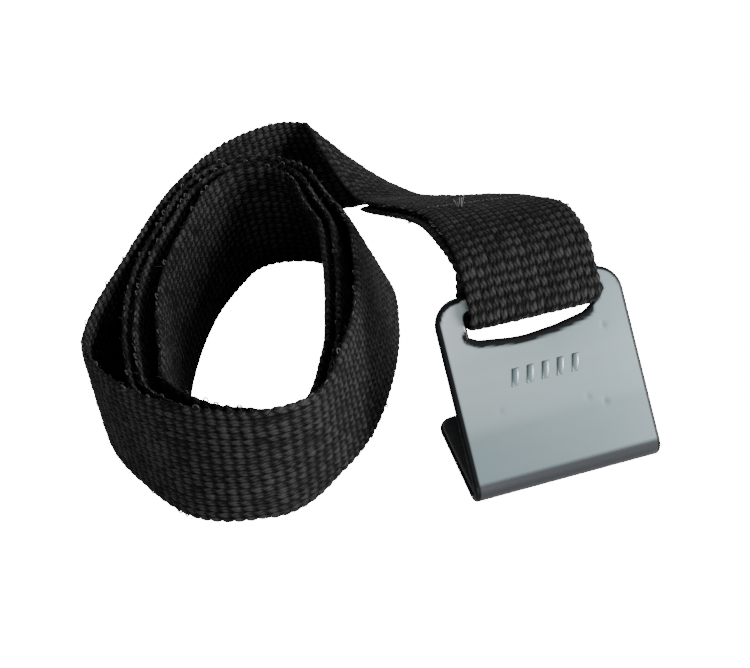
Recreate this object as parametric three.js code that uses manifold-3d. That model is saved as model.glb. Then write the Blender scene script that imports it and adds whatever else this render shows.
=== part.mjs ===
// Coiled webbing wrist strap with a folded sheet-steel hook clip.
// Millimetres, +Z up. X runs along the clip's cross bar, the bench top is Z = 0.
// The webbing is one long band. It is wound into a coil that stands on its edge; its outer end leaves
// the coil as a tail, arches over, passes round the clip's bar and runs back underneath itself.
import * as THREE from "three";
import { mergeVertices } from "three/addons/utils/BufferGeometryUtils.js";
import Module from "manifold-3d";

const wasm = await Module();
wasm.setup();

// ---- driving dimensions -------------------------------------------------------------------
const BAND_WIDTH = 25;
const BAND_THICKNESS = 1.3;
const LAYER_PITCH = 1.75; // centre to centre of two webbing layers that lie together
const CUT_GAP = 0.3; // between two lengths of band on the same body
const HINGE_GAP = 0.8; // between two lengths of band that turn on each other
const COIL_STEP = 2.5; // length of one facet of the coil
const TAIL_STEP = 4;
const LENGTH_DIVISIONS = 2000; // fine steps for measuring along a curve
const ROUND_STEPS = 8; // facets of a half turn

const CLIP_LEFT = 3.8;
const CLIP_WIDTH = 36;
const SHEET = 1.5;
const FOLD_RADIUS = 3; // outside of the fold
const FOLD_CENTRE = new THREE.Vector2(-48.6, FOLD_RADIUS); // y, z
const JAW_ANGLE = THREE.MathUtils.degToRad(46.6); // between the short leg and the front plate
const PLATE_LENGTH = 33.4; // straight part of the front plate
const LEG_LENGTH = 19.3; // straight part of the short leg
const PLATE_CORNER = 5;
const LEG_CORNER = 3;
const CUT_SPARE = 2; // how far a cutting shape runs past the metal
const SLOT_LEFT = 5.7; // from the clip's left side
const SLOT_WIDTH = 26;
const SLOT_TOP = 30.2; // heights along the plate, from the end of the fold
const SLOT_LOW_END = 26.4;
const SLOT_LOW_MIDDLE = 24.3;

const LOOP_CENTRE = 30.1; // height along the plate of the band's turn under the bar
const LOOP_RADIUS = 2.57; // of the band's middle surface
const BACK_TOP = 33.2; // height up to which the return layer stays straight behind the bar
const LOOP_SHIFT = -0.4; // the return layer lies a little to the left of the upper one

const THREAD_RADIUS = 0.2;
const THREAD_CLEAR = 0.4;
const TACK_STITCHES = 11;
const TACK_LENGTH = 2.4;
const TACK_MARGIN = 2; // plain webbing at each end of the tack

// Stations of the band on edge: x and y of its upper edge, x and y of its foot, then how far the foot
// stands off the bench. The outer turn has slid up at the front.
const OUTER_TURN = [
  [-0.5, 49.5, 6.5, 46, 0], [-7, 51, -3, 48, 0], [-20, 46.5, -20, 45, 0], [-34, 33, -35, 32, 0],
  [-46, 13, -46.3, 12.7, 0], [-55, -5, -54.8, -4.8, 0.5], [-56.7, -14.3, -57, -13.8, 1.3],
  [-51.4, -28.2, -52, -28.6, 3], [-41.3, -39.1, -43.3, -41.9, 5], [-30.7, -44.4, -31.1, -45.6, 5.5],
  [-20.8, -43.1, -21.5, -41.9, 5], [-12.7, -30.7, -10.2, -32.2, 3.8],
  [-7, -16.8, -0.8, -16.4, 2.3], [-3.5, -2, 5, -1, 1], [-1.7, 11, 7.4, 12, 0.3],
];
const SECOND_TURN = [
  [-3.5, 20, 4, 21, 0], [-5.6, 30, -2.8, 31.2, 0], [-11.7, 37, -12.6, 35, 0],
  [-22, 39.8, -20.3, 34.8, 0], [-31.1, 34, -27, 30.3, 0], [-38.3, 21.6, -35.5, 20, 0],
  [-45.1, 8.3, -42.5, 7, 0], [-48.9, -6.1, -47, -6, 0], [-49.9, -18, -48.5, -18, 0],
  [-49.2, -27.6, -47.6, -26.8, 0], [-40.4, -37.4, -40.3, -36.6, 0], [-30.5, -42.5, -30.6, -41.4, 0],
  [-21.5, -41.2, -22.3, -39.2, 0], [-14.7, -29.8, -12.2, -29.3, 0], [-9.8, -14, -6.5, -13, 0],
  [-6.8, 0, -1.5, 0, 0], [-5.2, 10, 0.3, 11, 0],
];
const LEAN_ROOM = 0.06; // extra share of the pitch for each millimetre that a layer leans
const INNER_SLACK = 2.4; // how far the innermost turn stands clear of the next one on the left
const INNER_STATIONS = 12; // the innermost turn ends at the front, behind the outer turn

// Stations of the upper layer, from the coil to the crest: centre, then half of the line across the
// band as a share of half its width. The band leaves the coil on edge and leans over, so that its foot
// edge becomes the arch's right edge; there the line across runs askew and is longer than the width.
const TAIL_LINE = [
  [3.5, 47.75, 12.2, 0.31, -0.14, -0.94], [5.9, 47.2, 12.4, 0.53, -0.15, -0.93],
  [9.1, 45.4, 12.4, 0.79, -0.17, -0.92], [12.6, 40, 11.5, 0.97, -0.16, -0.78],
  [15, 32, 12.4, 1.02, -0.24, -0.42], [16.9, 22.5, 15.8, 0.98, -0.18, -0.1],
  [18.1, 15.7, 19.6, 0.99, -0.11, -0.11], [19.8, 9.1, 23.3, 0.99, -0.04, -0.12],
  [21.6, 2.4, 26.8, 0.99, 0, -0.12], [22.5, -4.4, 30.2, 0.99, 0, -0.1],
  [22.7, -11.3, 33.3, 1, 0, -0.05], [22.6, -18.6, 35.2, 1, 0, 0],
];
const LEG_HEIGHTS = [38.5, 34.3]; // further stations, on the plate's slope above the bar's turn
// Places along the same stations, counted from 0 at the coil.
const KNUCKLE = 4.7; // the tail bends against the arch
const RETURN_END = 5.1; // the return layer stops here
const TACK_PLACE = 8.6;
const CREST = 11.45; // the arch bends against the leg

// ---- small helpers ------------------------------------------------------------------------
const V3 = (x, y, z) => new THREE.Vector3(x, y, z);
const plateUp = V3(0, Math.cos(JAW_ANGLE), Math.sin(JAW_ANGLE));
const plateOut = V3(0, -Math.sin(JAW_ANGLE), Math.cos(JAW_ANGLE));
const plateFoot = V3(CLIP_LEFT, FOLD_CENTRE.x, FOLD_CENTRE.y).addScaledVector(plateOut, FOLD_RADIUS);

/** A place given by its distance from the clip's left side, up the plate and out of its face. */
function onPlate(across, up, out) {
  return plateFoot.clone().add(V3(across, 0, 0)).addScaledVector(plateUp, up).addScaledVector(plateOut, out);
}

function named(name, geometry, colour, roughness, metalness) {
  const material = new THREE.MeshStandardMaterial({ color: colour, roughness, metalness });
  const mesh = new THREE.Mesh(geometry, material);
  mesh.name = name;
  return mesh;
}

function toSolid(geometry) {
  const bare = geometry.clone();
  bare.deleteAttribute("normal");
  bare.deleteAttribute("uv");
  const merged = mergeVertices(bare, 1e-4);
  const vertProperties = new Float32Array(merged.attributes.position.array);
  const triVerts = new Uint32Array(merged.index.array);
  return new wasm.Manifold(new wasm.Mesh({ numProp: 3, vertProperties, triVerts }));
}

function toGeometry(solid) {
  const mesh = solid.getMesh();
  const geometry = new THREE.BufferGeometry();
  geometry.setAttribute("position", new THREE.BufferAttribute(new Float32Array(mesh.vertProperties), 3));
  geometry.setIndex(new THREE.BufferAttribute(new Uint32Array(mesh.triVerts), 1));
  geometry.computeVertexNormals();
  return geometry;
}

/** A closed band through sections {centre, side}: side points across the band, 1 long where it is square. */
function bandSolid(sections) {
  const positions = [];
  const index = [];
  const last = sections.length - 1;
  sections.forEach(({ centre, side }, i) => {
    const before = sections[Math.max(i - 1, 0)].centre;
    const after = sections[Math.min(i + 1, last)].centre;
    const face = after.clone().sub(before).cross(side).normalize();
    for (const [across, out] of [[1, 1], [1, -1], [-1, -1], [-1, 1]]) {
      const corner = centre.clone().addScaledVector(side, (across * BAND_WIDTH) / 2);
      corner.addScaledVector(face, (out * BAND_THICKNESS) / 2);
      positions.push(corner.x, corner.y, corner.z);
    }
  });
  for (let i = 0; i < last; i += 1) {
    for (let k = 0; k < 4; k += 1) {
      const a = 4 * i + k;
      const b = 4 * i + ((k + 1) % 4);
      index.push(a, b + 4, b, a, a + 4, b + 4);
    }
  }
  index.push(0, 1, 2, 0, 2, 3);
  const end = 4 * last;
  index.push(end, end + 2, end + 1, end, end + 3, end + 2);
  const geometry = new THREE.BufferGeometry();
  geometry.setAttribute("position", new THREE.Float32BufferAttribute(positions, 3));
  geometry.setIndex(index);
  geometry.computeVertexNormals();
  return geometry;
}

function webbing(name, sections) {
  return named(name, bandSolid(sections), 0x17171a, 0.85, 0);
}

/** Where the station numbered k lies on a path through count stations, as a share of its length. */
function shareAt(path, k, count) {
  const lengths = path.getLengths(LENGTH_DIVISIONS);
  return lengths[Math.round((LENGTH_DIVISIONS * k) / (count - 1))] / lengths[LENGTH_DIVISIONS];
}

/** Length of the vectors in sides a share t of the way along them. */
function reachAt(sides, t) {
  const place = t * (sides.length - 1);
  const k = Math.min(Math.floor(place), sides.length - 2);
  return THREE.MathUtils.lerp(sides[k].length(), sides[k + 1].length(), place - k);
}

/** Sections of a smooth band through centres and width directions, from one station to another. */
function sectionsAlong({ centres, sides }, from, to, trims, step) {
  const path = new THREE.CatmullRomCurve3(centres, false, "centripetal");
  const turn = new THREE.CatmullRomCurve3(sides, false, "centripetal");
  const length = path.getLength();
  const start = shareAt(path, from, centres.length) + trims[0] / length;
  const end = shareAt(path, to, centres.length) - trims[1] / length;
  const count = Math.max(2, Math.round((length * (end - start)) / step));
  const sections = [];
  for (let i = 0; i <= count; i += 1) {
    const t = path.getUtoTmapping(start + ((end - start) * i) / count);
    sections.push({ centre: path.getPoint(t), side: turn.getPoint(t).setLength(reachAt(sides, t)) });
  }
  return sections;
}

// ---- the coil -----------------------------------------------------------------------------
const SLACK_SPREAD = 4; // the higher, the narrower the side of the turn that the slack acts on

/** Moves one edge point of a turn inwards; before and after are its neighbours on that edge. */
function moveInward(before, point, after, inset, slack) {
  const inward = new THREE.Vector2(before[1] - after[1], after[0] - before[0]).normalize();
  const amount = inset + slack * Math.max(0, inward.x) ** SLACK_SPREAD;
  return [point[0] + inward.x * amount, point[1] + inward.y * amount];
}

/** Moves a turn inwards by inset, and by slack more on its left side. */
function insetTurn(turn, lead, inset, slack) {
  return turn.map((station, i) => {
    const before = i > 0 ? turn[i - 1] : lead;
    const after = i < turn.length - 1 ? turn[i + 1] : turn[0];
    const lean = Math.hypot(station[0] - station[2], station[1] - station[3]);
    const room = inset * (1 + LEAN_ROOM * lean);
    const top = moveInward(before.slice(0, 2), station.slice(0, 2), after.slice(0, 2), room, slack);
    const foot = moveInward(before.slice(2, 4), station.slice(2, 4), after.slice(2, 4), room, slack);
    return [...top, ...foot, station[4]];
  });
}

function coilStations() {
  const lead = OUTER_TURN[OUTER_TURN.length - 1];
  const third = insetTurn(SECOND_TURN, lead, LAYER_PITCH, 0);
  const inner = insetTurn(SECOND_TURN, lead, 2 * LAYER_PITCH, INNER_SLACK);
  return [...OUTER_TURN, ...SECOND_TURN, ...third, ...inner.slice(0, INNER_STATIONS)];
}

function coilPieces() {
  const stations = coilStations();
  const centres = [];
  const sides = [];
  for (const [topX, topY, footX, footY, lift] of stations) {
    const lean = Math.hypot(topX - footX, topY - footY);
    const rise = Math.sqrt(BAND_WIDTH ** 2 - lean ** 2);
    const footLift = ((BAND_THICKNESS / 2) * lean) / BAND_WIDTH;
    centres.push(V3((topX + footX) / 2, (topY + footY) / 2, rise / 2 + footLift + lift));
    sides.push(V3(topX - footX, topY - footY, rise).normalize());
  }
  const outerEnd = OUTER_TURN.length - 0.5;
  const cuts = [0, outerEnd, outerEnd + SECOND_TURN.length, outerEnd + 2 * SECOND_TURN.length];
  cuts.push(stations.length - 1);
  const names = ["strap_outer_turn", "strap_second_turn", "strap_third_turn", "strap_inner_turn"];
  return names.map((name, i) => {
    const trims = [i === 0 ? HINGE_GAP / 2 : CUT_GAP / 2, i === names.length - 1 ? 0 : CUT_GAP / 2];
    return webbing(name, sectionsAlong({ centres, sides }, cuts[i], cuts[i + 1], trims, COIL_STEP));
  });
}

// ---- the tail, the arch and the turn round the bar -----------------------------------------
const bandAcross = SLOT_LEFT + SLOT_WIDTH / 2;
const frontOut = LOOP_RADIUS - SHEET / 2;

function upperLine() {
  const centres = TAIL_LINE.map(([x, y, z]) => V3(x, y, z));
  const sides = TAIL_LINE.map(([, , , x, y, z]) => V3(x, y, z));
  for (const up of [...LEG_HEIGHTS, LOOP_CENTRE]) {
    centres.push(onPlate(bandAcross, up, frontOut));
    sides.push(V3(1, 0, 0));
  }
  return { centres, sides };
}

/** Moves sections towards the underside, and to the left by the return layer's shift. */
function underneath(sections) {
  const last = sections.length - 1;
  return sections.map(({ centre, side }, i) => {
    const before = sections[Math.max(i - 1, 0)].centre;
    const after = sections[Math.min(i + 1, last)].centre;
    const face = after.clone().sub(before).cross(side).normalize();
    const moved = centre.clone().addScaledVector(face, -LAYER_PITCH);
    return { centre: moved.addScaledVector(side, LOOP_SHIFT), side };
  });
}

function layerPair(from, to, trims) {
  const upper = sectionsAlong(upperLine(), from, to, trims, TAIL_STEP);
  return { upper, under: underneath(upper) };
}

function tailPiece() {
  const { upper } = layerPair(0, KNUCKLE, [HINGE_GAP / 2, HINGE_GAP / 2]);
  return webbing("strap_tail", upper);
}

function archPieces() {
  const gap = HINGE_GAP / 2;
  const { upper } = layerPair(KNUCKLE, CREST, [gap, gap]);
  const { under } = layerPair(RETURN_END, CREST, [0, gap]);
  return [webbing("strap_arch_upper", upper), webbing("strap_arch_return", under)];
}

/** The leg, the turn under the bar and the start of the return layer, in one length. */
function barLoop() {
  const lastStation = TAIL_LINE.length + LEG_HEIGHTS.length;
  const { upper } = layerPair(CREST, lastStation, [HINGE_GAP / 2, 0]);
  const { under } = layerPair(CREST, TAIL_LINE.length, [HINGE_GAP / 2, 0]);
  const round = [];
  for (let i = 1; i <= ROUND_STEPS; i += 1) {
    const angle = (Math.PI * i) / ROUND_STEPS;
    const out = LOOP_RADIUS * Math.cos(angle) - SHEET / 2;
    const up = LOOP_CENTRE - LOOP_RADIUS * Math.sin(angle);
    const across = bandAcross + (LOOP_SHIFT * i) / ROUND_STEPS;
    round.push({ centre: onPlate(across, up, out), side: V3(1, 0, 0) });
  }
  const backOut = -LOOP_RADIUS - SHEET / 2;
  const across = bandAcross + LOOP_SHIFT;
  round.push({ centre: onPlate(across, BACK_TOP, backOut), side: V3(1, 0, 0) });
  return webbing("strap_bar_loop", [...upper, ...round, ...under.reverse()]);
}

// ---- the bar tack that holds the return layer ----------------------------------------------
/** A zigzag thread that lies across one face of the band. */
function tackThread(name, layerName, outward) {
  const sections = layerPair(TACK_PLACE - 0.5, TACK_PLACE + 0.5, [0, 0])[layerName];
  const { centre, side } = sections[1];
  const along = sections[2].centre.clone().sub(sections[0].centre).normalize();
  const face = along.clone().cross(side).normalize();
  const lift = BAND_THICKNESS / 2 + THREAD_CLEAR + THREAD_RADIUS;
  const base = centre.clone().addScaledVector(face, outward * lift);
  const reach = BAND_WIDTH - 2 * TACK_MARGIN;
  const points = [];
  for (let i = 0; i <= TACK_STITCHES; i += 1) {
    const point = base.clone().addScaledVector(side, reach * (i / TACK_STITCHES - 0.5));
    points.push(point.addScaledVector(along, (i % 2 ? 0.5 : -0.5) * TACK_LENGTH));
  }
  const path = new THREE.CatmullRomCurve3(points, false, "centripetal");
  const round = new THREE.Shape().absarc(0, 0, THREAD_RADIUS, 0, 2 * Math.PI);
  const steps = 4 * TACK_STITCHES;
  const geometry = new THREE.ExtrudeGeometry(round, { extrudePath: path, steps, curveSegments: 2 });
  return named(name, geometry, 0x0f0f10, 0.8, 0);
}

// ---- the clip -------------------------------------------------------------------------------
function clipProfile() {
  const shape = new THREE.Shape();
  const { x: y0, y: z0 } = FOLD_CENTRE;
  const inner = FOLD_RADIUS - SHEET;
  const tangent = Math.PI / 2 + JAW_ANGLE;
  const plate = new THREE.Vector2(Math.cos(JAW_ANGLE), Math.sin(JAW_ANGLE)).multiplyScalar(PLATE_LENGTH);
  const outerFoot = new THREE.Vector2(Math.cos(tangent), Math.sin(tangent));
  shape.moveTo(y0 + LEG_LENGTH, 0);
  shape.lineTo(y0 + LEG_LENGTH, SHEET);
  shape.lineTo(y0, SHEET);
  shape.absarc(y0, z0, inner, 1.5 * Math.PI, tangent, true);
  shape.lineTo(y0 + inner * outerFoot.x + plate.x, z0 + inner * outerFoot.y + plate.y);
  shape.lineTo(y0 + FOLD_RADIUS * outerFoot.x + plate.x, z0 + FOLD_RADIUS * outerFoot.y + plate.y);
  shape.absarc(y0, z0, FOLD_RADIUS, tangent, 1.5 * Math.PI, false);
  shape.closePath();
  return shape;
}

/** Stands an outline drawn in (across, up) on the plate and gives it a depth through the sheet. */
function throughPlate(outline) {
  const depth = 3 * SHEET;
  const geometry = new THREE.ExtrudeGeometry(outline, { depth, bevelEnabled: false, curveSegments: 8 });
  const basis = new THREE.Matrix4().makeBasis(V3(1, 0, 0), plateUp, plateOut);
  const origin = onPlate(0, 0, -2 * SHEET);
  return geometry.applyMatrix4(basis).applyMatrix4(new THREE.Matrix4().makeTranslation(origin));
}

function slotOutline() {
  const outline = new THREE.Shape();
  const right = SLOT_LEFT + SLOT_WIDTH;
  const middle = SLOT_LEFT + SLOT_WIDTH / 2;
  const dip = 2 * SLOT_LOW_MIDDLE - SLOT_LOW_END;
  outline.moveTo(SLOT_LEFT, SLOT_TOP);
  outline.lineTo(SLOT_LEFT, SLOT_LOW_END);
  outline.quadraticCurveTo(middle, dip, right, SLOT_LOW_END);
  outline.lineTo(right, SLOT_TOP);
  outline.closePath();
  return outline;
}

/** The waste outside one rounded corner at (cornerX, cornerY), which lies towards (dirX, dirY). */
function cornerWaste(cornerX, cornerY, dirX, dirY, radius) {
  const outline = new THREE.Shape();
  const cx = cornerX - dirX * radius;
  const cy = cornerY - dirY * radius;
  outline.moveTo(cx, cornerY + dirY * CUT_SPARE);
  for (let i = 0; i <= ROUND_STEPS; i += 1) {
    const angle = (Math.PI / 2) * (1 - i / ROUND_STEPS);
    outline.lineTo(cx + dirX * radius * Math.cos(angle), cy + dirY * radius * Math.sin(angle));
  }
  outline.lineTo(cornerX + dirX * CUT_SPARE, cy);
  outline.lineTo(cornerX + dirX * CUT_SPARE, cornerY + dirY * CUT_SPARE);
  outline.closePath();
  return outline;
}

function hookClip() {
  const sheet = new THREE.ExtrudeGeometry(clipProfile(), {
    depth: CLIP_WIDTH, bevelEnabled: false, curveSegments: 10,
  });
  const alongX = new THREE.Matrix4().makeBasis(V3(0, 1, 0), V3(0, 0, 1), V3(1, 0, 0));
  sheet.applyMatrix4(alongX);
  sheet.translate(CLIP_LEFT, 0, 0);
  let solid = toSolid(sheet).subtract(toSolid(throughPlate(slotOutline())));
  for (const [x, dir] of [[0, -1], [CLIP_WIDTH, 1]]) {
    solid = solid.subtract(toSolid(throughPlate(cornerWaste(x, PLATE_LENGTH, dir, 1, PLATE_CORNER))));
    const waste = new THREE.ExtrudeGeometry(cornerWaste(x, LEG_LENGTH, dir, 1, LEG_CORNER), {
      depth: 2 * SHEET, bevelEnabled: false,
    });
    waste.translate(CLIP_LEFT, FOLD_CENTRE.x, -SHEET / 2);
    solid = solid.subtract(toSolid(waste));
  }
  return named("hook_clip", toGeometry(solid), 0x8b9499, 0.38, 0.9);
}

// ---- assembly ------------------------------------------------------------------------------
const strap = new THREE.Group();
strap.add(...coilPieces());
strap.add(tailPiece());
strap.add(...archPieces());
strap.add(barLoop());
strap.add(tackThread("bar_tack_upper", "upper", 1));
strap.add(tackThread("bar_tack_under", "under", -1));
strap.add(hookClip());

const size = new THREE.Box3().setFromObject(strap);
const middle = size.getCenter(V3(0, 0, 0));
strap.position.set(-middle.x, -middle.y, -size.min.z);

export default strap;
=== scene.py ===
"""A wound-up webbing wrist strap with a folded sheet-steel clip.

The webbing is one ribbon that runs from the coil's inner end to the coil's outer corner, along the
tail and the arch, round the clip's bar and back underneath. Lengths are in millimetres in the
drawing's own origin until to_frame() moves them into the frame, in metres.
"""
import math

import bmesh
import bpy
import numpy as np
from mathutils import Matrix, Vector


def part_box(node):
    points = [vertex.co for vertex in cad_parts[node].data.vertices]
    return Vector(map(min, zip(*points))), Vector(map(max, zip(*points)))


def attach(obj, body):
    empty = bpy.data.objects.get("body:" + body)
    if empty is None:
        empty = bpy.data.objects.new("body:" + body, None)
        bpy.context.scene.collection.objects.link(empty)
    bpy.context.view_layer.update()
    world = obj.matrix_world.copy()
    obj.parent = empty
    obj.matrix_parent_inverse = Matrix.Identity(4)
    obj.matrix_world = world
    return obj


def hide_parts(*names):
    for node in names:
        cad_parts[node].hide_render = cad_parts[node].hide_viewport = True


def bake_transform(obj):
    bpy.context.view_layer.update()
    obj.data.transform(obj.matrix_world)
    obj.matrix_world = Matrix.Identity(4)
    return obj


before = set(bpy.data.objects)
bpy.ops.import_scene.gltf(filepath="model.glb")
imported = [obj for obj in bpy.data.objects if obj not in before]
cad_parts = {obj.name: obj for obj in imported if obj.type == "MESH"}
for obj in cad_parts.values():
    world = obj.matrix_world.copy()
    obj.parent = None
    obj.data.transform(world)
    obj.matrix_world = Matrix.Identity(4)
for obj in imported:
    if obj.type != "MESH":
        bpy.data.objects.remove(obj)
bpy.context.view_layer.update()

MM = 0.001
random = np.random.default_rng(11)

# ---- driving dimensions -----------------------------------------------------------------------
BAND_WIDTH = 25.0
BAND_THICKNESS = 1.3
LAYER_PITCH = 1.75
ROW_PITCH = 2.0  # along the band, from one row of weave to the next
COLUMNS = 18  # warp yarns across the band

CLIP_LEFT = 3.8
CLIP_WIDTH = 36.0
SHEET = 1.5
FOLD_RADIUS = 3.0
FOLD_CENTRE = (-48.6, 3.0)  # y, z
JAW_ANGLE = math.radians(46.6)
PLATE_LENGTH = 33.4
LEG_LENGTH = 19.3
PLATE_CORNER = 5.0
LEG_CORNER = 3.0
SLOT_LEFT, SLOT_WIDTH = 5.7, 26.0
SLOT_TOP, SLOT_LOW_END, SLOT_LOW_MIDDLE = 30.2, 26.4, 24.3

LOOP_CENTRE = 30.1
LOOP_RADIUS = 2.57
BACK_TOP = 33.2
LOOP_SHIFT = -0.4  # the return layer lies to the left of the upper one, by this much in the slot
RETURN_SHIFT = -1.1  # and by this much under the arch

# Stations of the band on edge: x and y of its upper edge, x and y of its foot, then how far the foot
# stands off the bench. The outer turn has slid up at the front.
OUTER_TURN = [
    (-0.5, 49.5, 6.5, 46, 0), (-7, 51, -3, 48, 0), (-20, 46.5, -20, 45, 0), (-34, 33, -35, 32, 0),
    (-46, 13, -46.3, 12.7, 0), (-55, -5, -54.8, -4.8, 0.5), (-56.7, -14.3, -57, -13.8, 1.3),
    (-51.4, -28.2, -52, -28.6, 3), (-41.3, -39.1, -43.3, -41.9, 5), (-30.7, -44.4, -31.1, -45.6, 5.5),
    (-20.8, -43.1, -21.5, -41.9, 5), (-12.7, -30.7, -10.2, -32.2, 3.8),
    (-7, -16.8, -0.8, -16.4, 2.3), (-3.5, -2, 5, -1, 1), (-1.7, 11, 7.4, 12, 0.3),
]
SECOND_TURN = [
    (-3.5, 20, 4, 21, 0), (-5.6, 30, -2.8, 31.2, 0), (-11.7, 37, -12.6, 35, 0),
    (-22, 39.8, -20.3, 34.8, 0), (-31.1, 34, -27, 30.3, 0), (-38.3, 21.6, -35.5, 20, 0),
    (-45.1, 8.3, -42.5, 7, 0), (-48.9, -6.1, -47, -6, 0), (-49.9, -18, -48.5, -18, 0),
    (-49.2, -27.6, -47.6, -26.8, 0), (-40.4, -37.4, -40.3, -36.6, 0), (-30.5, -42.5, -30.6, -41.4, 0),
    (-21.5, -41.2, -22.3, -39.2, 0), (-14.7, -29.8, -12.2, -29.3, 0), (-9.8, -14, -6.5, -13, 0),
    (-6.8, 0, -1.5, 0, 0), (-5.2, 10, 0.3, 11, 0),
]
LEAN_ROOM = 0.06  # extra share of the pitch for each millimetre that a layer leans
INNER_SLACK = 2.4  # how far the innermost turn stands clear of the next one on the left
INNER_STATIONS = 12  # the innermost turn ends at the front, behind the outer turn
SLACK_SPREAD = 4

# From the coil's corner to the crest: centre, then half of the line across as a share of half a width.
TAIL_LINE = [
    (3.5, 47.75, 12.2, 0.31, -0.14, -0.94), (5.9, 47.2, 12.4, 0.53, -0.15, -0.93),
    (9.1, 45.4, 12.4, 0.79, -0.17, -0.92), (12.6, 40, 11.5, 0.97, -0.16, -0.78),
    (15, 32, 12.4, 1.02, -0.24, -0.42), (16.9, 22.5, 15.8, 0.98, -0.18, -0.1),
    (18.1, 15.7, 19.6, 0.99, -0.11, -0.11), (19.8, 9.1, 23.3, 0.99, -0.04, -0.12),
    (21.6, 2.4, 26.8, 0.99, 0, -0.12), (22.5, -4.4, 30.2, 0.99, 0, -0.1),
    (22.7, -11.3, 33.3, 1, 0, -0.05), (22.6, -18.6, 35.2, 1, 0, 0),
]
LEG_HEIGHTS = (38.5, 34.3)
FAN_END = 3.0  # stations after the coil's corner, as the hinges' places below
KNUCKLE = 4.7
RETURN_END = 5.1
TACK_PLACE = 8.6
TUFT_PLACE = 9.15
TUFT_ACROSS = -5.0  # from the band's middle
CREST = 11.45
HINGE_REACH = 5.0  # length of band on each side of a hinge that bends with it
TURN_STEPS = 8  # stations round the clip's bar

# ---- the shared frame -------------------------------------------------------------------------
clip_low = np.array(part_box("hook_clip")[0])
OFFSET = clip_low / MM - np.array([CLIP_LEFT, FOLD_CENTRE[0] - FOLD_RADIUS, 0.0])
PLATE_UP = np.array([0, math.cos(JAW_ANGLE), math.sin(JAW_ANGLE)])
PLATE_OUT = np.array([0, -math.sin(JAW_ANGLE), math.cos(JAW_ANGLE)])
PLATE_FOOT = np.array([CLIP_LEFT, *FOLD_CENTRE]) + FOLD_RADIUS * PLATE_OUT


def to_frame(points):
    return (np.asarray(points, float) + OFFSET) * MM


def on_plate(across, up, out):
    return PLATE_FOOT + np.array([across, 0, 0]) + up * PLATE_UP + out * PLATE_OUT


def unit(v):
    v = np.asarray(v, float)
    return v / np.linalg.norm(v, axis=-1, keepdims=True)


# ---- the ribbon's middle line -----------------------------------------------------------------
def moved_in(before, point, after, inset, slack):
    inward = unit([before[1] - after[1], after[0] - before[0]])
    amount = inset + slack * max(0.0, inward[0]) ** SLACK_SPREAD
    return (point[0] + inward[0] * amount, point[1] + inward[1] * amount)


def inset_turn(turn, lead, inset, slack):
    moved = []
    for i, station in enumerate(turn):
        before = turn[i - 1] if i else lead
        after = turn[(i + 1) % len(turn)]
        lean = math.hypot(station[0] - station[2], station[1] - station[3])
        room = inset * (1 + LEAN_ROOM * lean)
        top = moved_in(before[:2], station[:2], after[:2], room, slack)
        foot = moved_in(before[2:4], station[2:4], after[2:4], room, slack)
        moved.append((*top, *foot, station[4]))
    return moved


def coil_stations():
    """(centre, half line across, pointing to the foot) from the corner to the inner end."""
    lead = OUTER_TURN[-1]
    third = inset_turn(SECOND_TURN, lead, LAYER_PITCH, 0)
    inner = inset_turn(SECOND_TURN, lead, 2 * LAYER_PITCH, INNER_SLACK)[:INNER_STATIONS]
    stations = []
    for top_x, top_y, foot_x, foot_y, raised in OUTER_TURN + SECOND_TURN + third + inner:
        lean = math.hypot(top_x - foot_x, top_y - foot_y)
        rise = math.sqrt(BAND_WIDTH**2 - lean**2)
        lift = BAND_THICKNESS / 2 * lean / BAND_WIDTH
        centre = ((top_x + foot_x) / 2, (top_y + foot_y) / 2, rise / 2 + lift + raised)
        stations.append((centre, unit([foot_x - top_x, foot_y - top_y, -rise])))
    return stations


def catmull(points, per_span=40):
    """A centripetal Catmull-Rom curve: per_span samples from each point to the next."""
    points = np.asarray(points, float)
    before = np.vstack([2 * points[0] - points[1], points, 2 * points[-1] - points[-2]])
    gaps = np.maximum(np.linalg.norm(np.diff(before, axis=0), axis=1) ** 0.5, 1e-4)
    t = np.linspace(0, 1, per_span, endpoint=False)[:, None]
    out = []
    for i in range(len(points) - 1):
        p0, p1, p2, p3 = before[i : i + 4]
        d0, d1, d2 = gaps[i : i + 3]
        m1 = ((p1 - p0) / d0 - (p2 - p0) / (d0 + d1) + (p2 - p1) / d1) * d1
        m2 = ((p2 - p1) / d1 - (p3 - p1) / (d1 + d2) + (p3 - p2) / d2) * d1
        a = 2 * p1 - 2 * p2 + m1 + m2
        b = -3 * p1 + 3 * p2 - 2 * m1 - m2
        out.append(p1 + m1 * t + b * t**2 + a * t**3)
    out.append(points[-1:])
    return np.vstack(out)


class Ribbon:
    """The band's middle surface by length along it: centre, half line across, and face normal."""

    def __init__(self, centres, sides, per_span=40):
        self.per_span = per_span
        sides = np.asarray(sides, float)
        centre = catmull(centres, per_span)
        turned = unit(catmull(sides, per_span))
        place = np.linspace(0, len(sides) - 1, len(centre))
        lengths = np.interp(place, np.arange(len(sides)), np.linalg.norm(sides, axis=1))
        steps = np.linalg.norm(np.diff(centre, axis=0), axis=1)
        self.s = np.concatenate([[0], np.cumsum(steps)])
        self.centre = centre
        self.side = turned * lengths[:, None]
        self.tangent = unit(np.gradient(centre, axis=0))
        self.face = unit(np.cross(self.tangent, self.side))

    def length_at(self, station):
        return float(np.interp(station * self.per_span, np.arange(len(self.s)), self.s))

    def at(self, s):
        """(centre, side, face, tangent) at each length in s."""
        tables = (self.centre, self.side, self.face, self.tangent)
        return [np.stack([np.interp(s, self.s, t[:, k]) for k in range(3)], -1) for t in tables]


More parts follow.
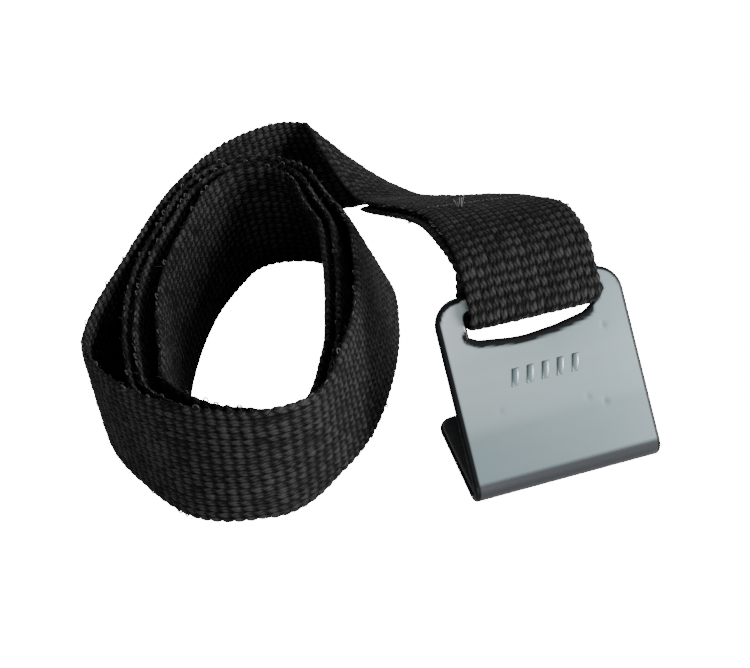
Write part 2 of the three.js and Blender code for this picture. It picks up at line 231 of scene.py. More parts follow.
def upper_stations():
    """The coil's stations from the inner end to the corner, then the tail, arch and leg."""
    coil = coil_stations()[::-1]
    centres = [c for c, _ in coil[:-1]]
    sides = [s for _, s in coil[:-1]]
    for x, y, z, *side in TAIL_LINE:
        centres.append((x, y, z))
        sides.append(side)
    across = SLOT_LEFT + SLOT_WIDTH / 2
    for up in (*LEG_HEIGHTS, LOOP_CENTRE):
        centres.append(on_plate(across, up, LOOP_RADIUS - SHEET / 2))
        sides.append((1, 0, 0))
    return centres, sides, len(coil) - 1


def whole_ribbon():
    """The whole band, its upper layer's line alone, and the station number of the coil's corner."""
    centres, sides, corner = upper_stations()
    upper = Ribbon(centres, sides)
    across = SLOT_LEFT + SLOT_WIDTH / 2
    for i in range(1, TURN_STEPS + 1):
        angle = math.pi * i / TURN_STEPS
        out = LOOP_RADIUS * math.cos(angle) - SHEET / 2
        up = LOOP_CENTRE - LOOP_RADIUS * math.sin(angle)
        centres.append(on_plate(across + LOOP_SHIFT * i / TURN_STEPS, up, out))
        sides.append((1, 0, 0))
    centres.append(on_plate(across + LOOP_SHIFT, BACK_TOP, -LOOP_RADIUS - SHEET / 2))
    sides.append((1, 0, 0))
    # the return layer follows the upper one, one layer lower
    high = upper.length_at(corner + len(TAIL_LINE))
    low = upper.length_at(corner + RETURN_END)
    count = int((high - low) / 4)
    for i in range(count + 1):
        s = high + (low - high) * i / count
        centre, side, face, _ = (v[0] for v in upper.at([s]))
        shift = np.interp(i / count, (0, 0.2, 0.4, 1), (LOOP_SHIFT, RETURN_SHIFT, RETURN_SHIFT, 0))
        centres.append(centre - LAYER_PITCH * face + shift * side)
        sides.append(side)
    return Ribbon(centres, sides), upper, corner


ribbon, upper_line, CORNER = whole_ribbon()


def place(station):
    """Length along the ribbon at a place counted in stations from the coil's corner."""
    return ribbon.length_at(CORNER + station)


def under_place(station):
    """Length along the ribbon where the return layer passes below a place of the upper layer."""
    target = upper_line.at([upper_line.length_at(CORNER + station)])
    point = target[0][0] - LAYER_PITCH * target[2][0]
    back = ribbon.s > place(len(TAIL_LINE) + len(LEG_HEIGHTS) + 2)
    near = np.linalg.norm(ribbon.centre - point, axis=1)
    return float(ribbon.s[back][np.argmin(near[back])])


# ---- the weave --------------------------------------------------------------------------------
RELIEF = 0.4  # depth of the grooves between the yarns
FACE_HIGH = 0.16  # how far the yarns stand above the plain thickness
ROW_STAGGER = 0.13  # neighbouring columns are shifted along by this share of a row
SELVEDGE_BEAD = 0.34  # how far the weft's turns stand out at the edges
GRAIN_ROWS = 997  # rows before the yarns' chance differences repeat

grain = random.normal(size=(2, GRAIN_ROWS, COLUMNS))


def hump(x, power):
    """1 in the middle of a cell and 0 at its ends, for x from 0 to 1."""
    return np.sqrt(np.clip(1 - np.abs(2 * x - 1) ** power, 0, 1))


def weave_height(s, v, outer):
    """Height of the woven face in mm above its grooves, and a number that differs by yarn."""
    across = np.clip((v + 1) / 2, 0, 0.99999) * COLUMNS
    column = across.astype(int)
    rows = s / ROW_PITCH + ROW_STAGGER * (column % 2) + (0 if outer else 0.5)
    row = np.floor(rows).astype(int)
    chance = grain[0 if outer else 1, row % GRAIN_ROWS, column]
    slant = 0.3 * (rows - row - 0.5)
    u = np.clip(across - column + slant + 0.04 * chance, 0, 1)
    shape = hump(u, 3.2) * hump(rows - row, 1.6)
    wave = 0.05 * np.sin(0.37 * s + 2.1 * v) + 0.04 * np.sin(0.11 * s)
    return RELIEF * shape * (1 + 0.12 * chance) + wave * 0.4, chance


def across_places(per_column):
    inner = np.linspace(-0.965, 0.965, COLUMNS * per_column + 1)
    rim = np.array([0.978, 0.99, 0.997])
    return np.concatenate([[-1], -rim[::-1], inner, rim, [1]])


def band_piece(name, s0, s1, per_row, per_column, caps=(False, False)):
    """A length of woven band from s0 to s1 along the ribbon, as one mesh object."""
    count = max(3, int(round((s1 - s0) / ROW_PITCH * per_row)))
    s = np.linspace(s0, s1, count + 1)
    centre, side, face, _ = ribbon.at(s)
    vs = across_places(per_column)
    ring_v = np.concatenate([vs, vs[-2:0:-1]])
    outer = np.concatenate([np.ones(len(vs), bool), np.zeros(len(vs) - 2, bool)])
    S, V = np.meshgrid(s, ring_v, indexing="ij")
    high_out, chance_out = weave_height(S, V, True)
    high_in, chance_in = weave_height(S, V, False)
    height = np.where(outer, high_out, high_in)
    chance = np.where(outer, chance_out, chance_in)
    body = np.clip(1 - np.abs(V) ** 14, 0, 1) ** 0.5
    half = (BAND_THICKNESS / 2 - RELIEF + FACE_HIGH + height) * body
    bead = np.abs(np.sin(np.pi * (S / ROW_PITCH + 0.25 * np.sign(V)))) ** 0.7
    edge = np.clip((np.abs(V) - 0.93) / 0.07, 0, 1)
    half = half * (1 - 0.35 * edge * (1 - bead))
    reach = V * BAND_WIDTH / 2 + np.sign(V) * edge * SELVEDGE_BEAD * (bead - 0.6)
    sign = np.where(outer, 1.0, -1.0)
    points = centre[:, None] + side[:, None] * reach[..., None]
    points = points + face[:, None] * (sign * half)[..., None]

    rows, ring = S.shape
    index = np.arange(rows * ring).reshape(rows, ring)
    nxt = np.roll(index, -1, axis=1)
    quads = np.stack([index[:-1], nxt[:-1], nxt[1:], index[1:]], -1).reshape(-1, 4)
    faces = quads.tolist()
    if caps[0]:
        faces.append(index[0, ::-1].tolist())
    if caps[1]:
        faces.append(index[-1].tolist())
    mesh = bpy.data.meshes.new(name)
    mesh.from_pydata(to_frame(points.reshape(-1, 3)), [], faces)
    mesh.polygons.foreach_set("use_smooth", np.ones(len(mesh.polygons), bool))
    add_weave_data(mesh, S, reach, height / RELIEF, chance)
    mesh.materials.append(webbing)
    obj = bpy.data.objects.new(name, mesh)
    bpy.context.scene.collection.objects.link(obj)
    return obj


def add_weave_data(mesh, along, across, height, chance):
    """Where each point lies on the flat band, for the yarn material."""
    flat = np.stack([along, across, chance], -1).reshape(-1, 3)
    mesh.attributes.new("weave", "FLOAT_VECTOR", "POINT").data.foreach_set("vector", flat.ravel())
    # height also drives the painted shade in the grooves and the painted highlight on the yarn tops
    mesh.attributes.new("height", "FLOAT", "POINT").data.foreach_set("value", height.ravel())


# ---- loose yarns ------------------------------------------------------------------------------
EDGES = (-1, 1)  # on the coil, the upper edge and the foot
BENCH_MARGIN = 2  # feet lower than this are on the bench
LOOP_YARN, FIBRE = 0.13, 0.035  # radii


def tube_mesh(name, paths, radius, sides=5, material=None):
    """One mesh of round yarns, each along its own list of points (mm)."""
    verts, faces = [], []
    for path in paths:
        path = np.asarray(path, float)
        tangent = unit(np.gradient(path, axis=0))
        normal = np.cross(tangent[0], (0.3, 0.5, 0.8))
        base = len(verts)
        for i, (point, t) in enumerate(zip(path, tangent)):
            normal = unit(normal - t * np.dot(normal, t))
            other = np.cross(t, normal)
            for k in range(sides):
                angle = 2 * math.pi * k / sides
                verts.append(point + radius * (math.cos(angle) * normal + math.sin(angle) * other))
            if i:
                low, top = base + (i - 1) * sides, base + i * sides
                for k in range(sides):
                    k2 = (k + 1) % sides
                    faces.append((low + k, low + k2, top + k2, top + k))
        end = base + (len(path) - 1) * sides
        faces.append(tuple(range(base + sides - 1, base - 1, -1)))
        faces.append(tuple(range(end, end + sides)))
    mesh = bpy.data.meshes.new(name)
    mesh.from_pydata(to_frame(verts), [], faces)
    mesh.polygons.foreach_set("use_smooth", np.ones(len(mesh.polygons), bool))
    mesh.materials.append(material or yarn)
    obj = bpy.data.objects.new(name, mesh)
    bpy.context.scene.collection.objects.link(obj)
    return obj


def edge_point(s, sign, beyond, lift=0.0):
    centre, side, face, tangent = (v[0] for v in ribbon.at([s]))
    reach = sign * (BAND_WIDTH / 2 + beyond)
    return centre + side * reach + face * lift, unit(side) * sign, face, tangent


def selvedge_loops(s0, s1, share):
    """Small turns of weft yarn that stand off the edges, except against the bench."""
    paths = []
    for k in range(int(s0 / ROW_PITCH) + 1, int(s1 / ROW_PITCH)):
        for sign in EDGES:
            if random.random() > share:
                continue
            s = (k + 0.5 - 0.25 * sign) * ROW_PITCH
            foot, out, face, along = edge_point(s, sign, -0.25)
            size = random.uniform(0.32, 0.55)
            if foot[2] < BENCH_MARGIN and out[2] < 0:
                continue
            tilt = random.uniform(-0.5, 0.5)
            turn = np.linspace(-0.75 * math.pi, 0.75 * math.pi, 11)
            path = []
            for a in turn:
                step = out * (math.cos(a) + 0.75) * size + along * math.sin(a) * size
                path.append(foot + step + face * tilt * size * (math.cos(a) + 0.75))
            paths.append(path)
    return paths


def stray_fibres(s0, s1, per_mm, length):
    """Fine fibres that stand off the edges, except towards the bench."""
    paths = []
    for _ in range(int((s1 - s0) * per_mm)):
        sign = EDGES[random.integers(len(EDGES))]
        s = random.uniform(s0, s1)
        lift = random.uniform(-0.5, 0.5)
        foot, out, face, along = edge_point(s, sign, -0.2, lift)
        aim = out * random.uniform(0.3, 1) + face * random.normal() * 0.5 + along * random.normal() * 0.6
        if foot[2] < length + 0.5 and aim[2] < 0:
            continue
        curl = random.normal(size=3) * 0.35
        reach = length * random.uniform(0.4, 1)
        steps = np.linspace(0, 1, 5)[:, None]
        paths.append(foot + steps * aim * reach + steps**2 * curl * reach)
    return paths


def fuzz(name, s0, s1, body, share, per_mm, length=1.0):
    """Edge loops and stray fibres along both edges between two lengths of the ribbon."""
    kinds = (("_edge_loops", selvedge_loops(s0, s1, share), LOOP_YARN, 6),
             ("_fibres", stray_fibres(s0, s1, per_mm, length), FIBRE, 3))
    for ending, paths, radius, sides in kinds:
        if paths:
            obj = tube_mesh(name + ending, paths, radius, sides)
            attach(obj, body)


# ---- materials --------------------------------------------------------------------------------
def node_material(name):
    material = bpy.data.materials.new(name)
    material.use_nodes = True
    nodes = material.node_tree.nodes
    return material, nodes, material.node_tree.links, nodes["Principled BSDF"]


def ramp(nodes, links, source, stops):
    node = nodes.new("ShaderNodeValToRGB")
    elements = node.color_ramp.elements
    elements[0].position, elements[0].color = stops[0][0], (*stops[0][1], 1)
    elements[1].position, elements[1].color = stops[-1][0], (*stops[-1][1], 1)
    for position, colour in stops[1:-1]:
        elements.new(position).color = (*colour, 1)
    links.new(source, node.inputs["Fac"])
    return node.outputs["Color"]


def math_node(nodes, links, operation, *values):
    node = nodes.new("ShaderNodeMath")
    node.operation = operation
    for socket, value in zip(node.inputs, values):
        if isinstance(value, bpy.types.NodeSocket):
            links.new(value, socket)
        else:
            socket.default_value = value
    return node.outputs[0]


def webbing_material():
    """Matt black polyester: painted shade in the grooves, painted highlight on the yarn tops, paired
    strands and fine filaments.
    """
    material, nodes, links, surface = node_material("webbing")

    def calc(operation, *values):
        return math_node(nodes, links, operation, *values)

    flat = nodes.new("ShaderNodeAttribute")
    flat.attribute_name = "weave"
    height = nodes.new("ShaderNodeAttribute")
    height.attribute_name = "height"
    parts = nodes.new("ShaderNodeSeparateXYZ")
    links.new(flat.outputs["Vector"], parts.inputs[0])
    along, across, chance = parts.outputs

    stretch = nodes.new("ShaderNodeMapping")
    stretch.inputs["Scale"].default_value = (1.2, 6.5, 2.0)
    links.new(flat.outputs["Vector"], stretch.inputs["Vector"])
    filaments = nodes.new("ShaderNodeTexNoise")
    filaments.inputs["Scale"].default_value = 1.4
    filaments.inputs["Detail"].default_value = 3
    links.new(stretch.outputs["Vector"], filaments.inputs["Vector"])
    speck = nodes.new("ShaderNodeTexNoise")
    speck.inputs["Scale"].default_value = 1.1
    links.new(flat.outputs["Vector"], speck.inputs["Vector"])

    # two strands to each column, leaning one way and then the other
    lean = calc("MULTIPLY", calc("SINE", calc("MULTIPLY", along, 2 * math.pi / ROW_PITCH)), 0.8)
    count = calc("MULTIPLY_ADD", across, 2 * math.pi * COLUMNS / BAND_WIDTH, lean)
    strand = calc("POWER", calc("ABSOLUTE", calc("SINE", count)), 0.8)

    # the yarns' height paints shade into the grooves and highlight onto the tops
    tone = calc("MULTIPLY_ADD", filaments.outputs["Fac"], 0.5, height.outputs["Fac"])
    tone = calc("MULTIPLY_ADD", speck.outputs["Fac"], 0.35, tone)
    tone = calc("MULTIPLY_ADD", strand, 0.5, tone)
    tone = calc("MULTIPLY_ADD", chance, 0.03, tone)
    stops = [(0.42, (0.0004, 0.0004, 0.0004)), (0.66, (0.0035, 0.0034, 0.0035)),
             (0.94, (0.024, 0.023, 0.023))]
    shown = ramp(nodes, links, calc("MULTIPLY", tone, 0.5), stops)
    links.new(shown, surface.inputs["Base Color"])
    surface.inputs["Specular IOR Level"].default_value = 0.08
    rough = calc("MULTIPLY_ADD", filaments.outputs["Fac"], 0.25, 0.6)
    links.new(rough, surface.inputs["Roughness"])
    relief = calc("MULTIPLY_ADD", strand, 0.8, filaments.outputs["Fac"])
    bump = nodes.new("ShaderNodeBump")
    bump.inputs["Strength"].default_value = 0.9
    bump.inputs["Distance"].default_value = 0.2 * MM
    links.new(relief, bump.inputs["Height"])
    links.new(bump.outputs["Normal"], surface.inputs["Normal"])
    return material


def yarn_material(name, colour, rough=0.6):
    material, nodes, links, surface = node_material(name)
    noise = nodes.new("ShaderNodeTexNoise")
    noise.inputs["Scale"].default_value = 2500
    darker = tuple(0.5 * c for c in colour)
    links.new(ramp(nodes, links, noise.outputs["Fac"], [(0.3, darker), (0.7, colour)]),
              surface.inputs["Base Color"])
    surface.inputs["Roughness"].default_value = rough
    return material


def steel_material(name, face_colours, painted_shade_colour, rough, metallic=0.85):
    """Plated steel: a cloudy face with a painted highlight to the upper left, and painted shade near black
    at rims and inside.

    The mesh says where: "rim" is 1 on the face side and falls to 0 at the painted shade of the rims and
    inside;
    "sheen" paints highlight towards the upper left and shade just above the fold; "fold" is 1 round the
    fold, where a darker colour paints shade. The steel itself is the same all over.
    """
    material, nodes, links, surface = node_material(name)

    def attribute(what):
        node = nodes.new("ShaderNodeAttribute")
        node.attribute_name = what
        return node.outputs["Fac"]

    def mixed(share, first, second):
        node = nodes.new("ShaderNodeMix")
        node.data_type = "RGBA"
        for socket, value in ((node.inputs[0], share), (node.inputs[6], first), (node.inputs[7], second)):
            if isinstance(value, bpy.types.NodeSocket):
                links.new(value, socket)
            else:
                socket.default_value = (*value, 1)
        return node.outputs[2]

    cloud = nodes.new("ShaderNodeTexNoise")
    cloud.inputs["Scale"].default_value = 110
    cloud.inputs["Detail"].default_value = 4
    # base is the steel's own colour; light is the colour of the painted highlight, and fold the painted
    # shade of the fold
    base, light, fold = face_colours
    tone = math_node(nodes, links, "MULTIPLY_ADD", cloud.outputs["Fac"], 0.5, attribute("painted_highlight_and_shade"))
    shown = ramp(nodes, links, tone, [(0.25, base), (0.9, light)])
    # painted shade: the fold's darker colour, then near black and less metallic at the rims and inside
    shown = mixed(attribute("fold"), shown, fold)
    shown = mixed(attribute("rim"), painted_shade_colour, shown)
    links.new(shown, surface.inputs["Base Color"])
    links.new(math_node(nodes, links, "MULTIPLY", attribute("rim"), metallic), surface.inputs["Metallic"])
    spread = math_node(nodes, links, "MULTIPLY_ADD", cloud.outputs["Fac"], 0.12, rough - 0.06)
    links.new(spread, surface.inputs["Roughness"])
    links.new(math_node(nodes, links, "MULTIPLY_ADD", attribute("rim"), 0.4, 0.08),
              surface.inputs["Specular IOR Level"])
    fine = nodes.new("ShaderNodeTexNoise")
    fine.inputs["Scale"].default_value = 1800
    fine.inputs["Detail"].default_value = 2
    bump = nodes.new("ShaderNodeBump")
    bump.inputs["Strength"].default_value = 0.12
    bump.inputs["Distance"].default_value = 0.05 * MM
    links.new(fine.outputs["Fac"], bump.inputs["Height"])
    links.new(bump.outputs["Normal"], surface.inputs["Normal"])
    return material


webbing = webbing_material()
yarn = yarn_material("loose_yarn", (0.011, 0.0105, 0.0105))
thread = yarn_material("sewing_thread", (0.012, 0.012, 0.012), 0.5)
pale_thread = yarn_material("thread_tuft", (0.09, 0.088, 0.088), 0.7)
# the face's own colour, the painted highlight's colour, the fold's painted shade, then the near-black
# painted shade of rims and inside
clip_steel = steel_material(
    "clip_steel", ((0.17, 0.222, 0.236), (0.45, 0.52, 0.54), (0.055, 0.058, 0.064)),
    (0.004, 0.0045, 0.005), 0.36)


# ---- the webbing's pieces ---------------------------------------------------------------------
FINE = (6, 5)  # points per row and per column of the weave
COARSE = (4, 3)


def hinge_blend(obj, station, under=False):
    """obj, the band's piece across a hinge at a station: only its transform is baked into its mesh."""
    s = under_place(station) if under else place(station)
    centre, side, _, tangent = (v[0] for v in ribbon.at([s]))
    side = unit(side)
    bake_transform(obj)


def build_webbing():
    turns = [place(-k) for k in (0, len(OUTER_TURN) - 0.5)]
    turns.append(place(-(len(OUTER_TURN) + len(SECOND_TURN) - 0.5)))
    turns.append(place(-(len(OUTER_TURN) + 2 * len(SECOND_TURN) - 0.5)))
    corner, outer_in, second_in, third_in = turns
    bend = HINGE_REACH
    corner_start = corner - bend
    corner_end = place(FAN_END)
    middle = (outer_in + corner_start) / 2
    coil = [
        ("inner_turn", 0, third_in, FINE, "strap_inner_turn"),
        ("third_turn", third_in, second_in, COARSE, "strap_third_turn"),
        ("second_turn", second_in, outer_in, COARSE, "strap_second_turn"),
        ("outer_turn_front", outer_in, middle, FINE, "strap_outer_turn"),
        ("outer_turn_back", middle, corner_start, FINE, None),
    ]
    for name, s0, s1, (per_row, per_column), node in coil:
        obj = band_piece("webbing_" + name, s0, s1, per_row, per_column, (s0 == 0, False))
        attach(obj, "coil")
        if node:
            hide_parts(node)

    obj = band_piece("webbing_corner", corner_start, corner_end, *FINE)
    hinge_blend(obj, 0)
    knuckle, crest = place(KNUCKLE), place(CREST)
    obj = band_piece("webbing_tail", corner_end, knuckle - bend, *FINE)
    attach(obj, "tail")
    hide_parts("strap_tail")
    obj = band_piece("webbing_knuckle", knuckle - bend, knuckle + bend, *FINE)
    hinge_blend(obj, KNUCKLE)
    obj = band_piece("webbing_arch", knuckle + bend, crest - bend, *FINE)
    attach(obj, "arch")
    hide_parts("strap_arch_upper")
    obj = band_piece("webbing_crest", crest - bend, crest + bend, *FINE)
    hinge_blend(obj, CREST)
    crest_under = under_place(CREST)
    obj = band_piece("webbing_bar_loop", crest + bend, crest_under - bend, *FINE)
    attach(obj, "leg")
    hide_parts("strap_bar_loop")
    obj = band_piece("webbing_crest_return", crest_under - bend, crest_under + bend, *FINE)
    hinge_blend(obj, CREST, under=True)
    end = float(ribbon.s[-1])
    obj = band_piece("webbing_arch_return", crest_under + bend, end, *FINE, (False, True))
    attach(obj, "arch")
    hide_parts("strap_arch_return")

    # name, stretch, body, share of rows with an edge loop, fibres per mm
    edging = (("coil_outer", outer_in, corner_start, "coil", 0.3, 1.5),
              ("coil_inner", 0, outer_in, "coil", 0.45, 1.5),
              ("tail", corner_end, knuckle - bend, "tail", 0.2, 2),
              ("arch", knuckle + bend, crest - bend, "arch", 0.3, 2.5),
              ("return", crest_under + bend, end, "arch", 0.3, 2.5),
              ("leg", crest + bend, place(len(TAIL_LINE) + 1), "leg", 0.2, 2))
    for stretch in edging:
        fuzz(*stretch)


def build_bar_tack():
    """A zigzag of sewing thread through both layers, pulled into the weave on each face."""
    stitches, reach, length = 22, BAND_WIDTH - 4, 2.4
    for name, under, outward in (("bar_tack_upper", False, 1), ("bar_tack_under", True, 1)):
        s0 = under_place(TACK_PLACE) if under else place(TACK_PLACE)
        points = []
        for i in range(stitches * 4 + 1):
            step = i / 4
            swing = 1 - 4 * abs(step / 2 - math.floor(step / 2 + 0.5))
            s = s0 + swing * length / 2
            centre, side, face, _ = (v[0] for v in ribbon.at([s]))
            dip = 0.22 * abs(swing) ** 3
            high = BAND_THICKNESS / 2 + FACE_HIGH - 0.26 - dip
            points.append(centre + side * reach * (step / stitches - 0.5) + face * outward * high)
        obj = tube_mesh("stitching_" + name, [points], 0.19, 8, thread)
        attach(obj, "arch")
        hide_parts(name)


def build_thread_tuft():
    """Loose thread ends that stand up in the middle of the arch's top."""
    centre, side, face, along = (v[0] for v in ribbon.at([place(TUFT_PLACE)]))
    paths = []
    for k in range(7):
        foot = centre + side * (0.2 * k - 0.6 + TUFT_ACROSS) + along * random.normal() * 0.3 + face * 0.6
        aim = face * random.uniform(0.8, 1.1) + side * random.normal() * 0.12
        curl = random.normal(size=3) * 0.3
        steps = np.linspace(0, 1, 7)[:, None]
        paths.append(foot + steps * aim * random.uniform(1.2, 2.6) + steps**2 * curl)
    obj = tube_mesh("thread_tuft", paths, 0.12, 5, pale_thread)
    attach(obj, "arch")


# ---- the clip ---------------------------------------------------------------------------------
FOLD_MIDDLE = FOLD_RADIUS - SHEET / 2
FOLD_ARC = math.pi - JAW_ANGLE
FOLD_LENGTH = FOLD_MIDDLE * FOLD_ARC
EDGE_ROUND = 0.68
EDGE_STEPS = 3
CLIP_GRID = 0.45  # spacing of the points on the plate
FOLD_CUTS = 24


def arc(cx, cy, radius, start, end, steps=8):
    return [(cx + radius * math.cos(math.radians(start + (end - start) * i / steps)),
             cy + radius * math.sin(math.radians(start + (end - start) * i / steps)))
            for i in range(steps + 1)]


def sheet_outline():
    """The unfolded sheet: across, then length from the short leg's free end."""
    top = LEG_LENGTH + FOLD_LENGTH + PLATE_LENGTH
    w, leg, plate = CLIP_WIDTH, LEG_CORNER, PLATE_CORNER
    return (arc(leg, leg, leg, 180, 270) + arc(w - leg, leg, leg, 270, 360)
            + arc(w - plate, top - plate, plate, 0, 90, 14)
            + arc(plate, top - plate, plate, 90, 180, 14))


# the slot's lower edge sags in a shallow, lopsided V: place along it, then share of the full dip
SLOT_BOW = ([0, 0.06, 0.3, 0.4, 0.62, 0.84, 0.94, 1], [0.2, 0.6, 1, 1.04, 0.8, 0.3, -0.45, -1.3])


def slot_outline():
    base = LEG_LENGTH + FOLD_LENGTH
    left, right = SLOT_LEFT, SLOT_LEFT + SLOT_WIDTH
    corner = 0.9
    low = base + SLOT_LOW_END
    points = arc(left + corner, base + SLOT_TOP - corner, corner, 180, 90, 5)
    points += arc(right - corner, base + SLOT_TOP - corner, corner, 90, 0, 5)
    steps = 36
    for i in range(steps + 1):
        share = i / steps
        dip = (SLOT_LOW_END - SLOT_LOW_MIDDLE) * np.interp(1 - share, *SLOT_BOW)
        points.append((right + (left - right) * share, low - dip))
    return points


def spline(curve, points):
    line = curve.splines.new("POLY")
    line.points.add(len(points) - 1)
    line.use_cyclic_u = True
    for point, (x, y) in zip(line.points, points):
        point.co = (x, y, 0, 1)


def flat_plate(name, outlines, thickness, edge_round):
    """A flat sheet with rounded edges, from closed outlines in the XY plane; the second is a hole."""
    curve = bpy.data.curves.new(name, "CURVE")
    curve.dimensions = "2D"
    curve.fill_mode = "BOTH"
    curve.extrude = thickness / 2 - edge_round
    curve.bevel_depth = edge_round
    curve.bevel_resolution = EDGE_STEPS
    curve.offset = -edge_round
    for points in outlines:
        spline(curve, points)
    holder = bpy.data.objects.new(name + "_outline", curve)
    bpy.context.scene.collection.objects.link(holder)
    bpy.context.view_layer.update()
    mesh = bpy.data.meshes.new_from_object(holder.evaluated_get(bpy.context.evaluated_depsgraph_get()))
    bpy.data.objects.remove(holder)
    bm = bmesh.new()
    bm.from_mesh(mesh)
    bmesh.ops.remove_doubles(bm, verts=bm.verts, dist=1e-4)
    return bm, mesh


def folded(across, length, out):
    """A point of the flat sheet after folding; out is measured from the sheet's middle."""
    y0, z0 = FOLD_CENTRE
    reach = FOLD_MIDDLE + out
    past = length - LEG_LENGTH
    angle = 1.5 * math.pi - min(max(past, 0), FOLD_LENGTH) / FOLD_MIDDLE
    y = y0 + reach * math.cos(angle)
    z = z0 + reach * math.sin(angle)
    if past < 0:
        y -= past
    if past > FOLD_LENGTH:
        y += (past - FOLD_LENGTH) * math.cos(JAW_ANGLE)
        z += (past - FOLD_LENGTH) * math.sin(JAW_ANGLE)
    return (CLIP_LEFT + across, y, z)


# small dents in the front plate: place across and up it, then depth
DENTS = ((30.5, 22.5, 0.04), (27.5, 9.0, 0.04), (24.5, 10.5, 0.03), (8.0, 12.0, 0.03))
DENT_SPREAD = 0.3
DENT_SHADE = 9  # how much a dent darkens the face, for each mm of its depth
RIM_SHADE_START, RIM_SHADE_FADE = 0.9, 0.3  # shares of the rim's width where its painted shade fades out


def plate_wave(across, up):
    """The front plate is very slightly uneven: a shallow hollow and a few small dents."""
    wave = 0.05 * math.sin(0.16 * across + 0.9) * math.sin(0.12 * up)
    for x, y, depth in DENTS:
        wave -= depth * math.exp(-((across - x) ** 2 + (up - y) ** 2) / DENT_SPREAD)
    return wave


def outline_distance(points, outline, widths):
    """Distance of each point from a closed outline, as a share of the rim's width on each stretch."""
    ends = np.roll(outline, -1, axis=0)
    nearest = np.full(len(points), 99.0)
    for start, end, width in zip(outline, ends, widths):
        step = end - start
        share = np.clip((points - start) @ step / max(step @ step, 1e-9), 0, 1)
        gap = np.linalg.norm(points - start - share[:, None] * step, axis=1)
        nearest = np.minimum(nearest, gap / width)
    return nearest


def rim_shade_widths():
    """How wide the painted shade at the rim is along each stretch of the sheet's outline and of the slot.
    """
    outer = np.array(sheet_outline())
    middle = (outer + np.roll(outer, -1, axis=0)) / 2
    outer_widths = np.where(middle[:, 0] < CLIP_WIDTH / 2, 1.1, 0.75)
    hole = np.array(slot_outline())
    low = (hole[:, 1] < LEG_LENGTH + FOLD_LENGTH + SLOT_LOW_END + 0.01)
    low &= np.roll(low, -1)
    return outer, outer_widths, hole, np.where(low, 1.5, 0.55)


def add_clip_data(mesh, flat, front):
    """Painted shade and highlight by point, from its place on the flat sheet; front marks the outer face's
    points.
    """
    outer, outer_widths, hole, hole_widths = rim_shade_widths()
    places = flat[:, :2]
    share = np.minimum(outline_distance(places, outer, outer_widths),
                       outline_distance(places, hole, hole_widths))
    # painted shade: near black along the rims, wider on the left and along the slot's lower lip, and over
    # the whole inner side
    rim = np.clip((share - RIM_SHADE_START) / RIM_SHADE_FADE, 0, 1) * front
    up = flat[:, 1] - LEG_LENGTH - FOLD_LENGTH
    # painted shade in each dent
    for x, y, depth in DENTS:
        spot = np.exp(-((flat[:, 0] - x) ** 2 + (up - y) ** 2) / DENT_SPREAD)
        rim *= 1 - DENT_SHADE * depth * spot
    # painted shade: the fold takes a darker colour than the face
    fold = np.clip((0.4 - up) / 0.6, 0, 1)
    # painted highlight towards the upper left and a little towards the top, and painted shade just above
    # the fold
    across = flat[:, 0] / CLIP_WIDTH
    painted_highlight_and_shade = np.clip(0.75 - 1.3 * across, 0, 1) * np.clip(up / PLATE_LENGTH, 0, 1) ** 2
    painted_highlight_and_shade = painted_highlight_and_shade + 0.06 * np.clip(up / PLATE_LENGTH, 0, 1) - 0.22 * np.exp(-((up - 4) / 4) ** 2)
    for name, values in (("rim", rim), ("fold", fold), ("painted_highlight_and_shade", painted_highlight_and_shade)):
        data = mesh.attributes.new(name, "FLOAT", "POINT").data
        data.foreach_set("value", np.ascontiguousarray(values, dtype=np.float32))


def build_clip():
    bm, mesh = flat_plate("folded_clip", [sheet_outline(), slot_outline()], SHEET, EDGE_ROUND)
    top = LEG_LENGTH + FOLD_LENGTH + PLATE_LENGTH
    cuts = [LEG_LENGTH + FOLD_LENGTH * i / FOLD_CUTS for i in range(FOLD_CUTS + 1)]
    cuts += [LEG_LENGTH + FOLD_LENGTH + CLIP_GRID * i for i in range(1, int(PLATE_LENGTH / CLIP_GRID))]
    for length in cuts:
        geometry = bm.verts[:] + bm.edges[:] + bm.faces[:]
        bmesh.ops.bisect_plane(bm, geom=geometry, plane_co=(0, length, 0), plane_no=(0, 1, 0))
    for i in range(1, int(CLIP_WIDTH / CLIP_GRID)):
        geometry = bm.verts[:] + bm.edges[:] + bm.faces[:]
        bmesh.ops.bisect_plane(bm, geom=geometry, plane_co=(CLIP_GRID * i, 0, 0), plane_no=(1, 0, 0))
    for f in bm.faces:
        f.smooth = True
    bm.verts.index_update()
    flat = np.array([v.co[:] for v in bm.verts])
    front = (flat[:, 2] > SHEET / 2 - 0.75 * EDGE_ROUND).astype(float)
    for v in bm.verts:
        across, length, out = v.co
        up = length - LEG_LENGTH - FOLD_LENGTH
        if up > 0:
            out += plate_wave(across, up) * min(1, up / 3, (top - length) / 3 + 0.1)
        v.co = to_frame(folded(across, length, out))
    bmesh.ops.recalc_face_normals(bm, faces=bm.faces)
    bm.to_mesh(mesh)
    bm.free()
    add_clip_data(mesh, flat, front)
    mesh.materials.clear()
    mesh.materials.append(clip_steel)
    obj = bpy.data.objects.new("folded_clip", mesh)
    bpy.context.scene.collection.objects.link(obj)
    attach(obj, "clip")
    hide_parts("hook_clip")


